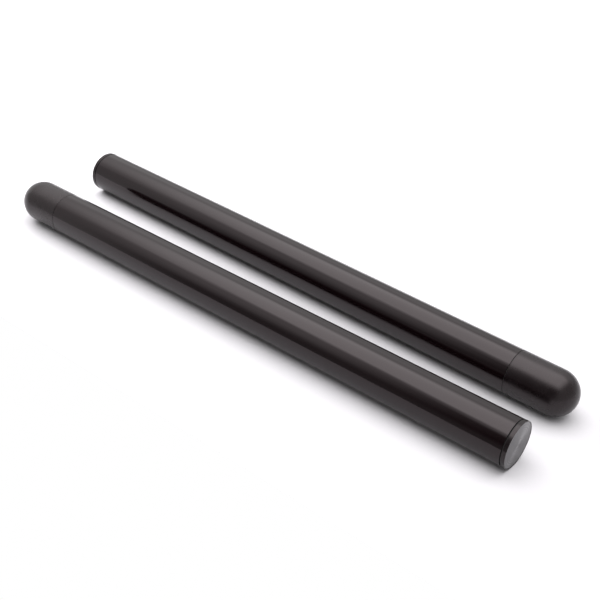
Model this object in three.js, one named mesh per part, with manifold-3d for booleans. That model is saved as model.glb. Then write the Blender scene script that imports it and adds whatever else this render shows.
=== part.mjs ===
// A pair of focus training sticks, the padded batons that a coach holds out as targets for punches and
// kicks. Each stick is a rigid core tube inside a closed-cell foam sleeve and a smooth tubular skin. One
// end is a moulded dome with a foam cushion in it; the other is a turned flat cap held by a hidden screw.
// Millimetres, +Z up. The sticks lie head to tail on the plane z = 0, with stick a along X.
import * as THREE from "three";
import { mergeVertices } from "three/addons/utils/BufferGeometryUtils.js";
import Module from "manifold-3d";

const wasm = await Module();
wasm.setup();

// Driving dimensions. A height is measured along a stick, from the flat butt (0) to the top of the dome.
const STICK_LENGTH = 603;
const STICK_RADIUS = 21.5;
const TIP_LENGTH = 61; // the moulded tip, dome included
const DOME_RISE = 22;
const FLANGE = 3.7; // the rim of the butt cap that shows beyond the skin
const SKIN_WALL = 1.2;
const CORE_RADIUS = 12.5;
const CORE_WALL = 2.5;

// How the two sticks lie.
const PAIR_SPACING = 92.3; // between the two middles, across the sticks
const PAIR_STAGGER = 10.2; // between the two middles, along the sticks
const PAIR_SPLAY = THREE.MathUtils.degToRad(1.36);

// Fits and edges.
const CLEARANCE = 0.3; // between a piece and the one around or beyond it
const SEAM = 0.3; // the open joint between skin and tip
const EDGE = 0.3; // broken edge of a moulded or turned piece
const RIM_CHAMFER = 0.35;

// Facets: the outer pieces have more sides than what is inside them.
const OUTER_SIDES = 36;
const INNER_SIDES = 20;
const DOME_STEPS = 7;
const CAVITY_STEPS = 5;
const CROWN_STEPS = 3;

// Radii that follow from the driving dimensions.
const SKIN_BORE = STICK_RADIUS - SKIN_WALL;
const INNER_FIT = SKIN_BORE - CLEARANCE; // what slides into the skin
const CORE_BORE = CORE_RADIUS - CORE_WALL;
const CORE_HOLE = CORE_RADIUS + CLEARANCE; // what slides over the core tube
const PLUG_RADIUS = CORE_BORE - 0.4; // what slides into the core tube

// The butt end, from the face inwards.
const DISC = { recess: 0.15, thickness: 1.2, radius: STICK_RADIUS - 0.95 };
const GASKET = { start: FLANGE + 0.2, thickness: 0.5, recess: 0.7 };
const SKIN_START = GASKET.start + GASKET.thickness + 0.2;
const CAP = {
  seat: DISC.recess + DISC.thickness + 0.2, // the floor of the recess for the disc
  web: 5, // the back of the plate between spigot and boss
  spigotEnd: 14,
  spigotBore: STICK_RADIUS - 4,
  bossEnd: 26,
};
const SCREW = { radius: 2.5, head: 4.25, top: 2.4, under: 5.95, end: 42, socket: 4, socketDepth: 2.2 };
const BUTT_BUNG = { start: CAP.bossEnd + 0.5, length: 20 };

// The tip end.
const TIP_START = STICK_LENGTH - TIP_LENGTH + SEAM / 2;
const SKIN_END = TIP_START - SEAM;
const DOME_BASE = STICK_LENGTH - DOME_RISE;
const CORE = { start: CAP.web + CLEARANCE, end: SKIN_END + 6.15, lead: 0.8 };
const FERRULE = { start: TIP_START - 14.35, end: TIP_START + 13.35, web: 3.2, wall: 1.8 };
const CAVITY = { radius: STICK_RADIUS - 4, start: FERRULE.end + 0.5, domeBase: DOME_BASE - 2 };
const CUSHION = { radius: CAVITY.radius - 0.5, base: CORE.end + 5.6 };
const TIP_BUNG = { stem: 16, bore: 7, head: 14.5, side: 2.2, crown: 2.5 };
const BARB = { pitch: 5, depth: 0.45, crest: 0.6, step: 0.3 };

// Points of a quarter ellipse from (radius, base) to (0, base + rise), both ends included.
function dome(radius, base, rise, steps) {
  const points = new THREE.EllipseCurve(0, base, radius, rise, 0, Math.PI / 2).getPoints(steps);
  points[steps].x = 0;
  return points;
}

// Points of a row of ring barbs, each a slope out to the radius, a narrow crest and a step back in.
function barbs(radius, from, to) {
  const root = radius - BARB.depth;
  const points = [];
  for (let height = from; height + BARB.pitch <= to; height += BARB.pitch) {
    const step = height + BARB.pitch - BARB.step;
    points.push([root, height], [radius, step - BARB.crest], [radius, step]);
  }
  return [...points, [root, to]];
}

// A solid turned about Y. The profile is [radius, height] pairs with the material on the left as it goes.
// It starts and ends on the axis, or else it is a ring's section and is closed here.
function turned(profile, sides) {
  const points = profile.map((p) => (p instanceof THREE.Vector2 ? p : new THREE.Vector2(...p)));
  const ring = points[0].x > 0;
  return new THREE.LatheGeometry(ring ? [...points, points[0].clone()] : points, sides);
}

function solidOf(geometry) {
  const bare = new THREE.BufferGeometry()
    .setAttribute("position", geometry.getAttribute("position"))
    .setIndex(geometry.getIndex());
  const merged = mergeVertices(bare, 1e-3);
  return new wasm.Manifold(
    new wasm.Mesh({
      numProp: 3,
      vertProperties: merged.getAttribute("position").array,
      triVerts: new Uint32Array(merged.getIndex().array),
    }),
  );
}

function geometryOf(solid) {
  const mesh = solid.getMesh();
  const geometry = new THREE.BufferGeometry();
  geometry.setAttribute("position", new THREE.BufferAttribute(mesh.vertProperties, 3));
  geometry.setIndex(new THREE.BufferAttribute(mesh.triVerts, 1));
  geometry.computeVertexNormals();
  return geometry;
}

// The smooth tube that is seen and gripped, with the outer edges of both ends broken.
function outerSkin() {
  return turned(
    [
      [SKIN_BORE, SKIN_START],
      [STICK_RADIUS - EDGE, SKIN_START],
      [STICK_RADIUS, SKIN_START + EDGE],
      [STICK_RADIUS, SKIN_END - EDGE],
      [STICK_RADIUS - EDGE, SKIN_END],
      [SKIN_BORE, SKIN_END],
    ],
    OUTER_SIDES,
  );
}

// Closed-cell foam between skin and core tube, from the cap's spigot to the ferrule.
function foamSleeve() {
  const start = CAP.spigotEnd + CLEARANCE;
  const end = FERRULE.start - CLEARANCE;
  return turned(
    [
      [CORE_HOLE, start],
      [INNER_FIT, start],
      [INNER_FIT, end],
      [CORE_HOLE, end],
    ],
    INNER_SIDES,
  );
}

// The rigid tube that carries the load, its bore chamfered for the plugs.
function coreTube() {
  const { start, end, lead } = CORE;
  return turned(
    [
      [CORE_BORE, start + lead],
      [CORE_BORE + lead, start],
      [CORE_RADIUS, start],
      [CORE_RADIUS, end],
      [CORE_BORE + lead, end],
      [CORE_BORE, end - lead],
    ],
    INNER_SIDES,
  );
}

// The moulded shell: a thin collar over the ferrule, a thick wall beyond it and a thicker nose.
function tipCap() {
  const { radius, start, domeBase } = CAVITY;
  return turned(
    [
      ...dome(radius, domeBase, radius, CAVITY_STEPS).reverse(),
      [radius, start],
      [SKIN_BORE, start],
      [SKIN_BORE, TIP_START],
      [STICK_RADIUS - EDGE, TIP_START],
      [STICK_RADIUS, TIP_START + EDGE],
      ...dome(STICK_RADIUS, DOME_BASE, DOME_RISE, DOME_STEPS),
    ],
    OUTER_SIDES,
  );
}

// The foam plug that fills the shell and cushions the end of the core.
function tipCushion() {
  const { radius, base } = CUSHION;
  return turned(
    [
      [0, base],
      [radius - EDGE, base],
      [radius, base + EDGE],
      ...dome(radius, CAVITY.domeBase, radius, CAVITY_STEPS),
    ],
    INNER_SIDES,
  );
}

// A ring that bridges the joint between skin and tip, with a web that centres the core tube in it.
function tipFerrule() {
  const { start, end, web, wall } = FERRULE;
  return turned(
    [
      [CORE_HOLE, start],
      [INNER_FIT - EDGE, start],
      [INNER_FIT, start + EDGE],
      [INNER_FIT, end - EDGE],
      [INNER_FIT - EDGE, end],
      [INNER_FIT - wall, end],
      [INNER_FIT - wall, start + web],
      [CORE_HOLE, start + web],
    ],
    INNER_SIDES,
  );
}

// A barbed mushroom plug that closes the core tube and spreads its end load into the cushion.
function tipBung() {
  const { stem, bore, head, side, crown } = TIP_BUNG;
  const start = CORE.end - stem;
  const headBase = CORE.end + CLEARANCE;
  return turned(
    [
      [0, CORE.end],
      [bore, CORE.end],
      [bore, start],
      ...barbs(PLUG_RADIUS, start, headBase),
      [head, headBase],
      ...dome(head, headBase + side, crown, CROWN_STEPS),
    ],
    INNER_SIDES,
  );
}

// The turned cap of the flat end: a rim flush with the skin, a recess for the face disc, a spigot that
// centres the skin, and a boss inside the core tube with a counterbored hole for the screw.
function buttCap() {
  const { seat, web, spigotEnd, spigotBore, bossEnd } = CAP;
  const hole = SCREW.radius + CLEARANCE;
  const counterbore = SCREW.head + 0.5;
  const headSeat = SCREW.under + 0.25;
  const recess = DISC.radius + CLEARANCE;
  const bossLead = 1;
  return turned(
    [
      [hole, headSeat],
      [counterbore, headSeat],
      [counterbore, seat],
      [recess, seat],
      [recess, 0],
      [STICK_RADIUS - RIM_CHAMFER, 0],
      [STICK_RADIUS, RIM_CHAMFER],
      [STICK_RADIUS, FLANGE - EDGE],
      [STICK_RADIUS - EDGE, FLANGE],
      [INNER_FIT, FLANGE],
      [INNER_FIT, spigotEnd - EDGE],
      [INNER_FIT - EDGE, spigotEnd],
      [spigotBore, spigotEnd],
      [spigotBore, web],
      [PLUG_RADIUS, web],
      [PLUG_RADIUS, bossEnd - bossLead],
      [PLUG_RADIUS - bossLead, bossEnd],
      [hole, bossEnd],
    ],
    OUTER_SIDES,
  );
}

// The thin turned disc pressed into the cap, which covers the screw.
function buttDisc() {
  const { recess, thickness, radius } = DISC;
  return turned(
    [
      [0, recess],
      [radius - EDGE, recess],
      [radius, recess + EDGE],
      [radius, recess + thickness],
      [0, recess + thickness],
    ],
    OUTER_SIDES,
  );
}

// The soft ring between the cap's rim and the end of the skin, set back so that it shows as a dark line.
function buttGasket() {
  const { start, thickness, recess } = GASKET;
  const inner = INNER_FIT + 0.15;
  return turned(
    [
      [inner, start],
      [STICK_RADIUS - recess, start],
      [STICK_RADIUS - recess, start + thickness],
      [inner, start + thickness],
    ],
    OUTER_SIDES,
  );
}

// The barbed plug fixed in the core tube, which the screw draws the cap against.
function buttBung() {
  const bore = SCREW.radius + 0.4;
  const { start, length } = BUTT_BUNG;
  const end = start + length;
  return turned([[bore, start], ...barbs(PLUG_RADIUS, start, end), [bore, end]], INNER_SIDES);
}

// A low-head socket screw with a plain shank: the plug's bore clears it where the thread would bite.
function buttScrew() {
  const { radius, head, top, under, end, socket, socketDepth } = SCREW;
  const point = 0.6;
  const body = turned(
    [
      [0, top],
      [head - EDGE, top],
      [head, top + EDGE],
      [head, under],
      [radius, under],
      [radius, end - point],
      [radius - point, end],
      [0, end],
    ],
    INNER_SIDES,
  );
  const overshoot = 1;
  const corner = socket / Math.sqrt(3);
  const key = new THREE.CylinderGeometry(corner, corner, socketDepth + overshoot, 6);
  key.translate(0, top + (socketDepth - overshoot) / 2, 0);
  return geometryOf(solidOf(body).subtract(solidOf(key)));
}

function finish(color, roughness, metalness = 0) {
  return new THREE.MeshStandardMaterial({ color, roughness, metalness });
}

const SKIN_BLACK = finish(0x252224, 0.28);
const TIP_BLACK = finish(0x2b292b, 0.6);
const CAP_BLACK = finish(0x222122, 0.42);
const DISC_GREY = finish(0x7c7a7c, 0.38, 0.9);
const GASKET_BLACK = finish(0x0c0c0c, 0.8);
const FOAM_GREY = finish(0x3a3a3c, 0.95);
const CORE_GREY = finish(0xb9babb, 0.4);
const PLUG_WHITE = finish(0xd8d6cf, 0.5);
const STEEL = finish(0x9a9a9c, 0.3, 1);

const PIECES = [
  ["outer_skin", outerSkin, SKIN_BLACK],
  ["foam_sleeve", foamSleeve, FOAM_GREY],
  ["core_tube", coreTube, CORE_GREY],
  ["tip_cap", tipCap, TIP_BLACK],
  ["tip_cushion", tipCushion, FOAM_GREY],
  ["tip_ferrule", tipFerrule, PLUG_WHITE],
  ["tip_bung", tipBung, PLUG_WHITE],
  ["butt_cap", buttCap, CAP_BLACK],
  ["butt_disc", buttDisc, DISC_GREY],
  ["butt_gasket", buttGasket, GASKET_BLACK],
  ["butt_bung", buttBung, PLUG_WHITE],
  ["butt_screw", buttScrew, STEEL],
];

// One stick, its middle at the group's origin and its dome towards the group's +Y.
function stick(name) {
  const group = new THREE.Group();
  for (const [piece, shape, material] of PIECES) {
    const mesh = new THREE.Mesh(shape(), material);
    mesh.name = `${name}_${piece}`;
    mesh.position.y = -STICK_LENGTH / 2;
    group.add(mesh);
  }
  return group;
}

const stickA = stick("stick_a");
stickA.rotation.z = Math.PI / 2; // dome towards -X
const stickB = stick("stick_b");
stickB.rotation.z = -Math.PI / 2 - PAIR_SPLAY; // dome towards +X
stickB.position.set(PAIR_STAGGER, PAIR_SPACING, 0);

const pair = new THREE.Group();
pair.add(stickA, stickB);

// The origin is the middle of the rectangle that the pair covers, on the surface it lies on.
const box = new THREE.Box3().setFromObject(pair, true);
const middle = box.getCenter(new THREE.Vector3());
pair.position.set(-middle.x, -middle.y, -box.min.z);

const model = new THREE.Group();
model.add(pair);

export default model;
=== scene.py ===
"""A pair of focus training sticks: their looks, the studio light and the camera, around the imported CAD.

A stick is built about its own Z axis, from its flat butt (height 0) to the top of its dome (height 603).
Outlines are in millimetres, and turned() makes them a mesh in metres.
"""

import math

import bmesh
import bpy
from mathutils import Matrix, Vector, noise


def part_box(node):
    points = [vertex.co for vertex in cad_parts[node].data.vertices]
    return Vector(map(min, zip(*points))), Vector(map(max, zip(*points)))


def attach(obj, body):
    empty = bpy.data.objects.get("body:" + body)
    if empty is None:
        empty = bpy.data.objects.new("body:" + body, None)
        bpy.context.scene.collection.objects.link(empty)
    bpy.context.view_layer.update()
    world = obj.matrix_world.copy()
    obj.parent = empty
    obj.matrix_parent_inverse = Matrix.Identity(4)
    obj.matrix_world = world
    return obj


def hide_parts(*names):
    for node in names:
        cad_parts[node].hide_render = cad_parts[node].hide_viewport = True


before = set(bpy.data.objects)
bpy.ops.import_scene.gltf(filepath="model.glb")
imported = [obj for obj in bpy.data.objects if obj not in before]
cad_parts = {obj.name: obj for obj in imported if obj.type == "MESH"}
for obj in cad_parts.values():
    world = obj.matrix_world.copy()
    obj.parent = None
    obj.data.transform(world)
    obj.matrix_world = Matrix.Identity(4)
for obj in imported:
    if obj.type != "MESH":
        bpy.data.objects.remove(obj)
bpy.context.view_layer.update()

MM = 0.001

# The CAD's driving dimensions, in mm.
RADIUS = 21.5
LENGTH = 603
DOME_BASE = 581
SKIN_BORE = RADIUS - 1.2
INNER_FIT = SKIN_BORE - 0.3
CORE_RADIUS = 12.5
CORE_BORE = 10
CORE_HOLE = 12.8
PLUG_RADIUS = 9.6
DISC_RADIUS = RADIUS - 0.95
DISC_TOP = 0.15
DISC_BACK = 1.35
RECESS_RADIUS = DISC_RADIUS + 0.2
RECESS_FLOOR = 1.55
FLANGE = 3.7
GASKET = (3.9, 4.4)
GASKET_RADIUS = RADIUS - 0.7
SKIN = (4.6, 541.85)
TIP_START = 542.15
FERRULE = (527.8, 555.5)
CAVITY_RADIUS = RADIUS - 4
CAVITY_START = 556
CAVITY_DOME = 579
CORE = (5.3, 548)

OUTER_SIDES = 144
INNER_SIDES = 96
SCREW_SIDES = 60
SUPPORT = 0.12  # how far past a fillet the next ring of points is, so that flat faces shade flat

STICKS = {"stick_a": 0, "stick_b": -math.pi / 2}  # each stick's turn about its own axis, in radians


# ---- shapes ----


def eased(corners, steps=4):
    """The outline, with a fillet at each square corner that is given as (radius, height, fillet)."""
    outline = []
    for index, corner in enumerate(corners):
        here = Vector(corner[:2])
        if len(corner) == 2:
            outline.append(here)
            continue
        fillet = corner[2]
        before = (Vector(corners[index - 1][:2]) - here).normalized()
        after = (Vector(corners[(index + 1) % len(corners)][:2]) - here).normalized()
        outline.append(here + before * (fillet + SUPPORT))
        for step in range(steps + 1):
            t = step / steps
            bend = here + before * fillet * (1 - t) ** 2 + after * fillet * t**2
            outline.append(bend)
        outline.append(here + after * (fillet + SUPPORT))
    return outline


def divided(outline, longest):
    """The outline with points added, so that no straight part of it is over the longest."""
    points = []
    for here, there in zip(outline, outline[1:] + outline[:1]):
        on_axis = here.x == 0 and there.x == 0
        parts = 1 if on_axis else math.ceil((there - here).length / longest)
        points += [here.lerp(there, part / parts) for part in range(parts)]
    return points


def dome(radius, base, rise, steps=24):
    """A quarter ellipse, from (radius, base) to the axis at (0, base + rise)."""
    turns = [math.pi / 2 * step / steps for step in range(steps)]
    rim = [(radius * math.cos(turn), base + rise * math.sin(turn)) for turn in turns]
    return [*rim, (0, base + rise)]


def turned(name, outline, sides=OUTER_SIDES, relief=None):
    """A closed mesh, turned about Z from an outline. relief(radius, height, angle) can change a radius."""
    shape = bmesh.new()
    rings = []
    for radius, height in outline:
        if radius == 0:
            rings.append([shape.verts.new((0, 0, height * MM))])
            continue
        ring = []
        for step in range(sides):
            angle = 2 * math.pi * step / sides
            reach = MM * (relief(radius, height, angle) if relief else radius)
            ring.append(shape.verts.new((reach * math.cos(angle), reach * math.sin(angle), height * MM)))
        rings.append(ring)
    for low, high in zip(rings, rings[1:] + rings[:1]):
        if len(low) == 1 and len(high) == 1:
            continue
        for step in range(sides):
            after = (step + 1) % sides
            loop = ((low, step), (low, after), (high, after), (high, step))
            corners = [ring[index % len(ring)] for ring, index in loop]
            shape.faces.new(dict.fromkeys(corners))
    bmesh.ops.recalc_face_normals(shape, faces=shape.faces)
    mesh = bpy.data.meshes.new(name)
    shape.to_mesh(mesh)
    shape.free()
    mesh.shade_smooth()
    mesh.set_sharp_from_angle(angle=math.radians(50))
    piece = bpy.data.objects.new(name, mesh)
    bpy.context.scene.collection.objects.link(piece)
    return piece


def wavy(depth, spacing, only_beyond=0.0, stretch=1.0):
    """A relief that takes up to depth off a radius, in soft waves about spacing mm apart."""

    def relief(radius, height, angle):
        if radius < only_beyond:
            return radius
        place = Vector((radius * math.cos(angle), radius * math.sin(angle), height / stretch)) / spacing
        return radius - depth * (0.5 + 0.5 * noise.noise(place))

    return relief


def outer_skin(name):
    """The smooth tube that is seen and gripped. Its wall wavers a little, as a film over foam does."""
    start, end = SKIN
    corners = [(SKIN_BORE, start), (RADIUS, start, 0.3), (RADIUS, end, 0.3), (SKIN_BORE, end)]
    ripple = wavy(depth=0.05, spacing=14, only_beyond=RADIUS - 0.2, stretch=5)
    return turned(name, divided(eased(corners), longest=8), relief=ripple)


def tip_cap(name):
    """The moulded rubber tip: a thin collar over the ferrule, a thick wall and a domed nose."""
    inside = [(CAVITY_RADIUS, CAVITY_START), (SKIN_BORE, CAVITY_START), (SKIN_BORE, TIP_START)]
    edge = eased([(SKIN_BORE, TIP_START), (RADIUS, TIP_START, 0.35), (RADIUS, DOME_BASE)])[1:-1]
    outline = [
        *map(Vector, reversed(dome(CAVITY_RADIUS, CAVITY_DOME, CAVITY_RADIUS, 16))),
        *map(Vector, inside),
        *edge,
        *map(Vector, dome(RADIUS, DOME_BASE, LENGTH - DOME_BASE, 32)),
    ]
    return turned(name, divided(outline, longest=5))


def tip_cushion(name):
    """The foam plug that fills the tip."""
    radius = CAVITY_RADIUS - 0.5
    base = CORE[1] + 5.6
    outline = [
        *eased([(0, CAVITY_DOME), (0, base), (radius, base, 1), (radius, CAVITY_DOME)])[1:-1],
        *map(Vector, dome(radius, CAVITY_DOME, radius, 20)),
    ]
    return turned(name, divided(outline, longest=1.5), INNER_SIDES, wavy(depth=0.12, spacing=1.6))


def foam_sleeve(name):
    """The closed-cell foam tube between skin and core."""
    start, end = 14.3, FERRULE[0] - 0.3
    corners = [(CORE_HOLE, start), (INNER_FIT, start, 0.6), (INNER_FIT, end, 0.6), (CORE_HOLE, end)]
    cells = wavy(depth=0.12, spacing=2.2, only_beyond=INNER_FIT - 1)
    return turned(name, divided(eased(corners), longest=3), INNER_SIDES, cells)


def core_tube(name):
    """The rigid tube, cut square, with both bores chamfered."""
    start, end = CORE
    lead = 0.8
    corners = [
        (CORE_BORE, start + lead),
        (CORE_BORE + lead, start),
        (CORE_RADIUS, start, 0.25),
        (CORE_RADIUS, end, 0.25),
        (CORE_BORE + lead, end),
        (CORE_BORE, end - lead),
    ]
    ripple = wavy(depth=0.03, spacing=9, only_beyond=CORE_RADIUS - 0.5, stretch=4)
    return turned(name, divided(eased(corners), longest=20), INNER_SIDES, ripple)


def tip_ferrule(name):
    """The moulded ring under the tip's seam, with a web that centres the core."""
    start, end = FERRULE
    web = start + 3.2
    inside = INNER_FIT - 1.8
    corners = [
        (CORE_HOLE, start, 0.3),
        (INNER_FIT, start, 0.6),
        (INNER_FIT, end, 0.4),
        (inside, end, 0.4),
        (inside, web, 0.9),
        (CORE_HOLE, web, 0.3),
    ]
    return turned(name, eased(corners), INNER_SIDES)


def barbs(radius, start, end, depth=0.45, pitch=5):
    """A row of ring barbs, each a slope out to the radius, a narrow crest and a short step back in."""
    points = []
    height = start
    while height + pitch <= end:
        points += [
            (radius - depth, height),
            (radius - 0.05, height + pitch - 1),
            (radius, height + pitch - 0.8),
            (radius, height + pitch - 0.4),
            (radius - 0.05, height + pitch - 0.3),
        ]
        height += pitch
    return [*points, (radius - depth, end)]


def tip_bung(name):
    """The barbed mushroom plug that closes the core tube."""
    bore, head = 7, 14.5
    start, face = CORE[1] - 16, CORE[1] + 0.3
    outline = [
        (0, CORE[1]),
        (bore - 0.5, CORE[1]),
        (bore, CORE[1] - 0.5),
        (bore, start),
        *barbs(PLUG_RADIUS, start, face),
        (head - 0.4, face),
        (head, face + 0.4),
        *dome(head, face + 2.2, 2.5, 16),
    ]
    return turned(name, [Vector(point) for point in outline], INNER_SIDES)


def butt_cap(name):
    """The turned cap: a rim flush with the skin, a recess for the disc, a spigot and a drilled boss."""
    hole, counterbore, head_seat = 2.8, 4.75, 6.2
    spigot_end, spigot_bore, web, boss_end = 14, RADIUS - 4, 5, 26
    corners = [
        (hole, head_seat, 0.2),
        (counterbore, head_seat),
        (counterbore, RECESS_FLOOR, 0.3),
        (RECESS_RADIUS, RECESS_FLOOR),
        (RECESS_RADIUS, 0, 0.1),
        (RADIUS, 0, 0.15),
        (RADIUS, FLANGE, 0.3),
        (INNER_FIT, FLANGE),
        (INNER_FIT, spigot_end, 0.4),
        (spigot_bore, spigot_end, 0.4),
        (spigot_bore, web, 1.2),
        (PLUG_RADIUS, web, 1.2),
        (PLUG_RADIUS, boss_end, 0.9),
        (hole, boss_end, 0.4),
    ]
    return turned(name, eased(corners))


def butt_disc(name):
    """The thin face disc. Its face keeps the fine rings that the lathe tool left, and a small centre mark."""
    groove, depth, centre = 0.9, 0.03, 1.2
    face = [(0, DISC_TOP + 0.12), (centre * 0.5, DISC_TOP + 0.1), (centre, DISC_TOP)]
    radius = centre + groove
    while radius < DISC_RADIUS - groove:
        face += [(radius - groove / 4, DISC_TOP), (radius, DISC_TOP + depth), (radius + groove / 4, DISC_TOP)]
        radius += groove
    rim = eased([face[-1], (DISC_RADIUS, DISC_TOP, 0.22), (DISC_RADIUS, DISC_BACK, 0.1), (0, DISC_BACK)])
    return turned(name, [*map(Vector, face), *rim[1:]])


def butt_gasket(name):
    """The soft ring between the cap and the end of the skin, set back from both."""
    start, end = GASKET
    inner = INNER_FIT + 0.15
    corners = [(inner, start), (GASKET_RADIUS, start, 0.1), (GASKET_RADIUS, end, 0.1), (inner, end)]
    return turned(name, eased(corners, steps=3))


def butt_bung(name):
    """The barbed plug in the core tube that the screw pulls against."""
    bore, start, end = 2.9, 26.5, 46.5
    outline = [(bore, start + 0.5), (bore + 0.5, start), *barbs(PLUG_RADIUS, start, end), (bore, end)]
    return turned(name, [Vector(point) for point in outline], INNER_SIDES)


def butt_screw(name):
    """The low-head M5 socket screw, with its hexagon socket, knurled head and rolled thread."""
    shank, head, top, under, end = 2.5, 4.25, 2.4, 5.95, 42
    socket, socket_floor, neck, pitch, depth = 2.0, 4.6, 9, 0.8, 0.4

    def relief(radius, height, angle):
        if radius == socket:
            flat = (angle % (math.pi / 3)) - math.pi / 6
            return socket / math.cos(flat)
        if radius == head:
            return head - 0.12 * abs(math.sin(20 * angle))
        if radius == shank and height > neck:
            thread = (height / pitch - angle / (2 * math.pi)) % 1
            return shank - depth * abs(2 * thread - 1)
        return radius

    threads = [(shank, neck + pitch / 6 * step) for step in range(int((end - 1 - neck) * 6 / pitch))]
    outline = [
        (0, socket_floor + 0.5),
        (socket, socket_floor),
        (socket, top + 0.2),
        (socket + 0.5, top),
        (head - 0.4, top),
        (head, top + 0.4),
        (head, under - 0.2),
        (head - 0.2, under),
        (shank + 0.1, under),
        (shank - 0.001, under + 0.2),
        (shank - 0.001, neck - 0.2),
        *threads,
        (shank - 0.5, end - 0.8),
        (shank - 1, end),
        (0, end),
    ]
    return turned(name, [Vector(point) for point in outline], SCREW_SIDES, relief)


# ---- materials ----

MIX_FACTOR, MIX_DARK, MIX_LIGHT, MIX_COLOR = 0, 6, 7, 2  # the places of a colour Mix node's sockets

BLACK_IOR = 1.43
CAP_IOR = 1.38
PURPLE_GLINT = (1, 0.895, 0.915, 1)  # the black pieces reflect very slightly purple


class Nodes:
    """A cleared node tree, with short ways to add to it. Each helper gives the new node's output socket."""

    def __init__(self, owner):
        owner.use_nodes = True
        self.tree = owner.node_tree
        self.tree.nodes.clear()

    def add(self, kind, inputs, **settings):
        """A new node with its settings. An input is a value, or a socket to link."""
        made = self.tree.nodes.new("ShaderNode" + kind)
        for name, value in settings.items():
            setattr(made, name, value)
        for name, value in inputs.items():
            if isinstance(value, bpy.types.NodeSocket):
                self.tree.links.new(value, made.inputs[name])
            else:
                made.inputs[name].default_value = value
        return made

    def math(self, operation, first, second=0.0):
        """One operation on one or two numbers."""
        return self.add("Math", {0: first, 1: second}, operation=operation).outputs[0]

    def span(self, value, start, end, low, high, smooth=True):
        """value from start to end, mapped to low to high and held there beyond."""
        kind = "SMOOTHSTEP" if smooth else "LINEAR"
        inputs = {"Value": value, "From Min": start, "From Max": end, "To Min": low, "To Max": high}
        return self.add("MapRange", inputs, interpolation_type=kind).outputs["Result"]

    def place(self, scale=(1, 1, 1)):
        """The point on the piece, in metres about the stick's own axis."""
        point = self.add("TexCoord", {}).outputs["Object"]
        return self.add("Mapping", {"Vector": point, "Scale": scale}).outputs["Vector"]

    def radius(self):
        """The distance from the stick's axis, in metres."""
        return self.add("VectorMath", {0: self.place((1, 1, 0))}, operation="LENGTH").outputs["Value"]

    def noise(self, vector, scale, detail=2.0):
        """Noise from 0 to 1, with scale waves in a metre."""
        return self.add("TexNoise", {"Vector": vector, "Scale": scale, "Detail": detail}).outputs["Fac"]

    def rings(self, value, scale, detail=2.0):
        """Noise along one value only, such as a radius."""
        inputs = {"W": value, "Scale": scale, "Detail": detail}
        return self.add("TexNoise", inputs, noise_dimensions="1D").outputs["Fac"]

    def tint(self, factor, dark, light):
        """The colour from dark to light, as the factor goes from 0 to 1."""
        inputs = {MIX_FACTOR: factor, MIX_DARK: (*dark, 1), MIX_LIGHT: (*light, 1)}
        return self.add("Mix", inputs, data_type="RGBA").outputs[MIX_COLOR]

    def bump(self, height, depth_mm, normal=None):
        """The surface's slope, raised by up to depth_mm where height is 1."""
        inputs = {"Height": height, "Distance": depth_mm * MM, "Strength": 1}
        if normal:
            inputs["Normal"] = normal
        return self.add("Bump", inputs).outputs["Normal"]

    def surface(self, inputs):
        """The material's shader."""
        shader = self.add("BsdfPrincipled", inputs)
        self.add("OutputMaterial", {"Surface": shader.outputs["BSDF"]})


def material(name):
    """A new material and its nodes."""
    made = bpy.data.materials.new(name)
    return made, Nodes(made)


def skin_look():
    """Black film over foam: semi-gloss, drawn lengthwise, so fine streaks run along the stick."""
    made, n = material("drawn_black_film")
    fine = n.noise(n.place((1, 1, 0.012)), scale=1100, detail=3)
    broad = n.noise(n.place((1, 1, 0.03)), scale=260, detail=2)
    cloud = n.noise(n.place((1, 1, 0.4)), scale=45, detail=3)
    scuff = n.span(n.noise(n.place((1, 1, 0.05)), scale=700, detail=4), 0.66, 0.74, 0, 1)
    normal = n.bump(fine, 0.02, normal=n.bump(broad, 0.06))
    gloss = n.math("ADD", n.span(cloud, 0.3, 0.7, 0.09, 0.12), n.math("MULTIPLY", scuff, 0.06))
    color = n.tint(n.math("MULTIPLY", scuff, 0.6), (0.0036, 0.0014, 0.0018), (0.0062, 0.0038, 0.0043))
    n.surface({
        "Base Color": color,
        "Roughness": gloss,
        "IOR": BLACK_IOR,
        "Specular Tint": PURPLE_GLINT,
        "Normal": normal,
    })
    return made


def rubber_look():
    """Matte moulded rubber, with a fine spark-eroded grain and a faint bloom."""
    made, n = material("matte_black_rubber")
    grain = n.noise(n.place(), scale=2600, detail=3)
    bloom = n.noise(n.place(), scale=60, detail=4)
    shade = n.span(bloom, 0.35, 0.65, 0, 1)
    n.surface({
        "Base Color": n.tint(shade, (0.0044, 0.0024, 0.0028), (0.0060, 0.0038, 0.0043)),
        "Roughness": n.span(bloom, 0.3, 0.7, 0.24, 0.30),
        "IOR": BLACK_IOR,
        "Specular Tint": PURPLE_GLINT,
        "Normal": n.bump(grain, 0.02),
    })
    return made


def cap_look():
    """Turned black plastic, with the tool's fine lines round it."""
    made, n = material("turned_black_plastic")
    height = n.add("SeparateXYZ", {"Vector": n.place()}).outputs["Z"]
    lines = n.rings(n.math("ADD", height, n.radius()), scale=5200, detail=3)
    cloud = n.noise(n.place(), scale=140, detail=3)
    n.surface({
        "Base Color": n.tint(cloud, (0.0065, 0.0045, 0.0049), (0.0090, 0.0070, 0.0074)),
        "Roughness": n.span(cloud, 0.3, 0.7, 0.13, 0.18),
        "IOR": CAP_IOR,
        "Specular Tint": PURPLE_GLINT,
        "Normal": n.bump(lines, 0.012),
    })
    return made


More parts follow.
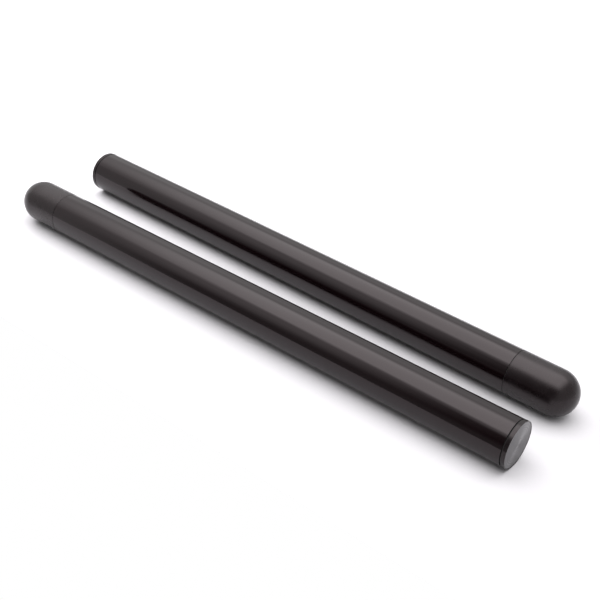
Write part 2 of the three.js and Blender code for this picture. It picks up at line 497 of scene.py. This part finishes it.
def disc_look():
    """Grey anodised aluminium, faced on a lathe: rings of slightly different shade that glint in two fans."""
    made, n = material("turned_grey_aluminium")
    rings = n.rings(n.radius(), scale=2400, detail=3)
    broad = n.rings(n.radius(), scale=900, detail=2)
    tangent = n.add("Tangent", {}, direction_type="RADIAL", axis="Z").outputs["Tangent"]
    shade = n.span(broad, 0.3, 0.7, 0, 1)
    n.surface({
        "Base Color": n.tint(shade, (0.114, 0.111, 0.114), (0.180, 0.176, 0.180)),
        "Metallic": 1,
        "Roughness": n.span(rings, 0.3, 0.7, 0.29, 0.39),
        "Anisotropic": 0.95,
        "Anisotropic Rotation": 0.25,
        "Tangent": tangent,
        "Normal": n.bump(rings, 0.018),
    })
    return made


def gasket_look():
    """Dull black rubber sheet."""
    made, n = material("dull_black_rubber")
    speck = n.noise(n.place(), scale=1800, detail=2)
    n.surface({
        "Base Color": n.tint(speck, (0.004, 0.004, 0.004), (0.009, 0.009, 0.009)),
        "Roughness": 0.85,
        "Normal": n.bump(speck, 0.03),
    })
    return made


def foam_look():
    """Closed-cell foam: rounded cells of about half a millimetre, charcoal, with paler walls and painted
    shade that darkens the sunken middle of each cell.
    """
    made, n = material("charcoal_foam")
    inputs = {"Vector": n.place(), "Scale": 1600}
    cells = n.add("TexVoronoi", inputs, feature="SMOOTH_F1").outputs["Distance"]
    patch = n.noise(n.place(), scale=90, detail=3)
    # painted shade: the colour is darkest where the cells' bump is lowest, in each cell's hollow; the patches
    # are a random change of tone
    shade = n.math("MULTIPLY", n.span(cells, 0.1, 0.6, 0.2, 1), n.span(patch, 0.3, 0.7, 0.7, 1))
    n.surface({
        "Base Color": n.tint(shade, (0.018, 0.018, 0.019), (0.060, 0.060, 0.063)),
        "Roughness": 0.92,
        "Sheen Weight": 0.15,
        "Normal": n.bump(cells, 0.12),
    })
    return made


def core_look():
    """Pale grey pultruded tube: long fibres show faintly under the resin."""
    made, n = material("pale_fibre_tube")
    fibres = n.noise(n.place((1, 1, 0.01)), scale=1500, detail=3)
    n.surface({
        "Base Color": n.tint(fibres, (0.42, 0.42, 0.41), (0.56, 0.56, 0.55)),
        "Roughness": n.span(fibres, 0.3, 0.7, 0.34, 0.46),
        "Normal": n.bump(fibres, 0.02),
    })
    return made


def plug_look():
    """Natural nylon: off-white, a little waxy, with faint flow marks from the mould."""
    made, n = material("natural_nylon")
    flow = n.noise(n.place((1, 1, 0.3)), scale=120, detail=4)
    grain = n.noise(n.place(), scale=2200, detail=2)
    n.surface({
        "Base Color": n.tint(flow, (0.60, 0.58, 0.52), (0.72, 0.70, 0.64)),
        "Roughness": n.span(flow, 0.3, 0.7, 0.42, 0.54),
        "Subsurface Weight": 0.15,
        "Subsurface Scale": 0.002,
        "Normal": n.bump(grain, 0.01),
    })
    return made


def screw_look():
    """Zinc-plated steel, with fine lines round it."""
    made, n = material("plated_steel")
    height = n.add("SeparateXYZ", {"Vector": n.place()}).outputs["Z"]
    lines = n.rings(n.math("ADD", height, n.radius()), scale=4000, detail=3)
    n.surface({
        "Base Color": n.tint(lines, (0.50, 0.50, 0.52), (0.62, 0.62, 0.64)),
        "Metallic": 1,
        "Roughness": n.span(lines, 0.3, 0.7, 0.26, 0.38),
        "Normal": n.bump(lines, 0.01),
    })
    return made


# ---- the sticks ----


def middle(node):
    """The middle of a CAD node's box."""
    low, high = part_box(node)
    return (low + high) / 2


def stick_frame(stick, turn):
    """The middle of the flat butt, with Z along the stick to its dome and the piece turned about it."""
    disc = middle(stick + "_butt_disc")
    along = (middle(stick + "_outer_skin") - disc).normalized()
    butt = disc - along * (DISC_TOP + DISC_BACK) / 2 * MM
    up = Vector((0, 0, 1))
    axes = Matrix((up, along.cross(up), along)).transposed()
    return Matrix.Translation(butt) @ axes.to_4x4() @ Matrix.Rotation(turn, 4, "Z")


# What the piece is called in the CAD, its shape, its slot in the record, and its look.
PIECES = [
    ("outer_skin", outer_skin, "skin", skin_look()),
    ("tip_cap", tip_cap, "tip_rubber", rubber_look()),
    ("butt_cap", butt_cap, "cap", cap_look()),
    ("butt_disc", butt_disc, "disc", disc_look()),
    ("butt_gasket", butt_gasket, "gasket", gasket_look()),
    ("foam_sleeve", foam_sleeve, "foam", foam_look()),
    ("tip_cushion", tip_cushion, "foam", foam_look()),
    ("core_tube", core_tube, "core", core_look()),
    ("tip_ferrule", tip_ferrule, "plug", plug_look()),
    ("tip_bung", tip_bung, "plug", plug_look()),
    ("butt_bung", butt_bung, "plug", plug_look()),
    ("butt_screw", butt_screw, "screw", screw_look()),
]

for stick, turn in STICKS.items():
    where = stick_frame(stick, turn)
    for part, shape, slot, look in PIECES:
        node = f"{stick}_{part}"
        piece = shape(node + "_detail")
        piece.data.materials.append(look)
        piece.matrix_world = where
        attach(piece, stick)
        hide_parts(node)


# ---- studio ----


def floor():
    """A plain pale sweep. It ends a little in front of the sticks, where the dark of the room starts."""
    reach, front, below = 30, -0.2, 0.0001
    shape = bmesh.new()
    bmesh.ops.create_grid(shape, x_segments=1, y_segments=1, size=reach)
    mesh = bpy.data.meshes.new("studio_floor")
    shape.to_mesh(mesh)
    shape.free()
    sweep = bpy.data.objects.new("studio_floor", mesh)
    sweep.location = (0, reach + front, -below)
    bpy.context.scene.collection.objects.link(sweep)
    made, n = material("pale_paper")
    fibre = n.noise(n.place(), scale=300, detail=3)
    n.surface({
        "Base Color": n.tint(fibre, (0.574, 0.560, 0.580), (0.594, 0.580, 0.600)),
        "Roughness": 1,
        "Specular IOR Level": 0,
    })
    mesh.materials.append(made)


# The light on the sticks, by direction: turn is in degrees and lean is from -1 to 1, as studio() says. A pair
# is where a soft edge starts and ends. The levels and the edges follow the reflections in the photograph.
GAIN = 1.28
WALL_LEVEL, WALL_TURNS = 1.05, (46, 60)
FRONT_LEVEL, FRONT_TURNS = 0.2, (5, 48)
LEFT_LEVEL, LEFT_LEANS = 0.7, (-0.72, -0.58)
BACK_LEVEL, BACK_TURNS = 0.45, (140, 172)
RIGHT_LEVEL, RIGHT_LEANS = 0.5, (0.3, 0.65)
DARK_SHARE, DARK_LEANS, DARK_TURNS = 0.93, (-0.5, -0.28), ((0, 18), (40, 60))
SOFTBOX_LEVEL, SOFTBOX_TURNS, SOFTBOX_SPREAD = 1.88, ((53, 67), (116, 136)), ((-1.15, -0.58), (0.3, 0.9))
LEAST_UP = 0.05  # keeps the softbox's spread finite for level directions
WHITE = (1, 1, 1, 1)


def mixed(n, level, other, share):
    """The level, moved towards the other by a share."""
    return n.math("ADD", level, n.math("MULTIPLY", share, n.math("SUBTRACT", other, level)))


def between(n, value, rise, fall):
    """1 between two soft edges, 0 outside them."""
    return n.math("MULTIPLY", n.span(value, *rise, 0, 1), n.span(value, *fall, 1, 0))


def room_level(n, turn, lean):
    """The room: dim in front with one darker part, and pale behind and to the left."""
    dark = n.math("MULTIPLY", between(n, turn, *DARK_TURNS), n.span(lean, *DARK_LEANS, 0, DARK_SHARE))
    front = mixed(n, n.span(turn, *FRONT_TURNS, FRONT_LEVEL, WALL_LEVEL), 0.0, dark)
    front = mixed(n, front, LEFT_LEVEL, n.span(lean, *LEFT_LEANS, 1, 0))
    room = mixed(n, front, WALL_LEVEL, n.span(turn, *WALL_TURNS, 0, 1))
    room = mixed(n, room, BACK_LEVEL, n.span(turn, *BACK_TURNS, 0, 1))
    return mixed(n, room, RIGHT_LEVEL, n.span(lean, *RIGHT_LEANS, 0, 1))


def softbox_shape(n, turn, lean, up):
    """1 inside the softbox overhead, 0 outside it."""
    across = n.math("DIVIDE", lean, n.math("MAXIMUM", up, LEAST_UP))
    left, right = SOFTBOX_SPREAD
    shape = n.math("MULTIPLY", between(n, turn, *SOFTBOX_TURNS), n.span(across, *left, 0, 1))
    return n.math("MULTIPLY", shape, n.span(across, *right, 1, 0))


def studio():
    """The light round the sticks: a softbox overhead, a pale wall behind and left, a dim room in front.

    turn is the angle of a direction round the X axis: 0 is the camera's side, 90 is up and 180 is behind.
    lean is how far it leans along X, from -1 on the left to 1 on the right. The camera sees plain white.
    """
    world = bpy.data.worlds.new("studio")
    n = Nodes(world)
    direction = n.add("TexCoord", {}).outputs["Generated"]
    parts = n.add("SeparateXYZ", {"Vector": direction}).outputs
    lean, up = parts["X"], parts["Z"]
    turn = n.math("DEGREES", n.math("ARCTAN2", up, n.math("MULTIPLY", parts["Y"], -1)))
    softbox = n.math("MULTIPLY", SOFTBOX_LEVEL, softbox_shape(n, turn, lean, up))
    light = n.math("MULTIPLY", GAIN, n.math("ADD", room_level(n, turn, lean), softbox))

    lit = n.add("Background", {"Color": WHITE, "Strength": light}).outputs[0]
    seen = n.add("Background", {"Color": WHITE, "Strength": 1.0}).outputs[0]
    straight = n.add("LightPath", {}).outputs["Is Camera Ray"]
    shown = n.add("MixShader", {0: straight, 1: lit, 2: seen}).outputs[0]
    n.add("OutputWorld", {"Surface": shown})
    bpy.context.scene.world = world


def side_light():
    """A lamp beyond the left end, which lifts the floor and the shadows there and shows in no reflection."""
    lamp = bpy.data.lights.new("left_softbox", "AREA")
    lamp.shape = "RECTANGLE"
    lamp.size, lamp.size_y = 0.5, 0.4
    lamp.energy = 5
    rig = bpy.data.objects.new("left_softbox", lamp)
    place, aim = Vector((-0.9, 0.08, 0.45)), Vector((-0.3, 0, 0))
    rig.location = place
    rig.rotation_euler = (aim - place).to_track_quat("-Z", "Y").to_euler()
    rig.visible_glossy = False
    bpy.context.scene.collection.objects.link(rig)


def camera():
    """The photograph's view."""
    place = Vector((0.53137, -0.66872, 0.54484))
    azimuth, elevation, roll = (math.radians(angle) for angle in (36.749, 32.337, 4.525))
    flat = math.cos(elevation)
    ahead = Vector((-math.sin(azimuth) * flat, math.cos(azimuth) * flat, -math.sin(elevation)))
    right = Vector((math.cos(azimuth), math.sin(azimuth), 0))
    axes = Matrix((right, right.cross(ahead), -ahead)).transposed().to_4x4()
    view = bpy.data.cameras.new("photo_view")
    view.sensor_width = 36
    view.lens = 61.67
    view.clip_end = 100
    rig = bpy.data.objects.new("photo_view", view)
    rig.matrix_world = Matrix.Translation(place) @ axes @ Matrix.Rotation(roll, 4, "Z")
    bpy.context.scene.collection.objects.link(rig)
    bpy.context.scene.camera = rig


floor()
studio()
side_light()
camera()
bpy.context.scene.view_settings.view_transform = "Standard"
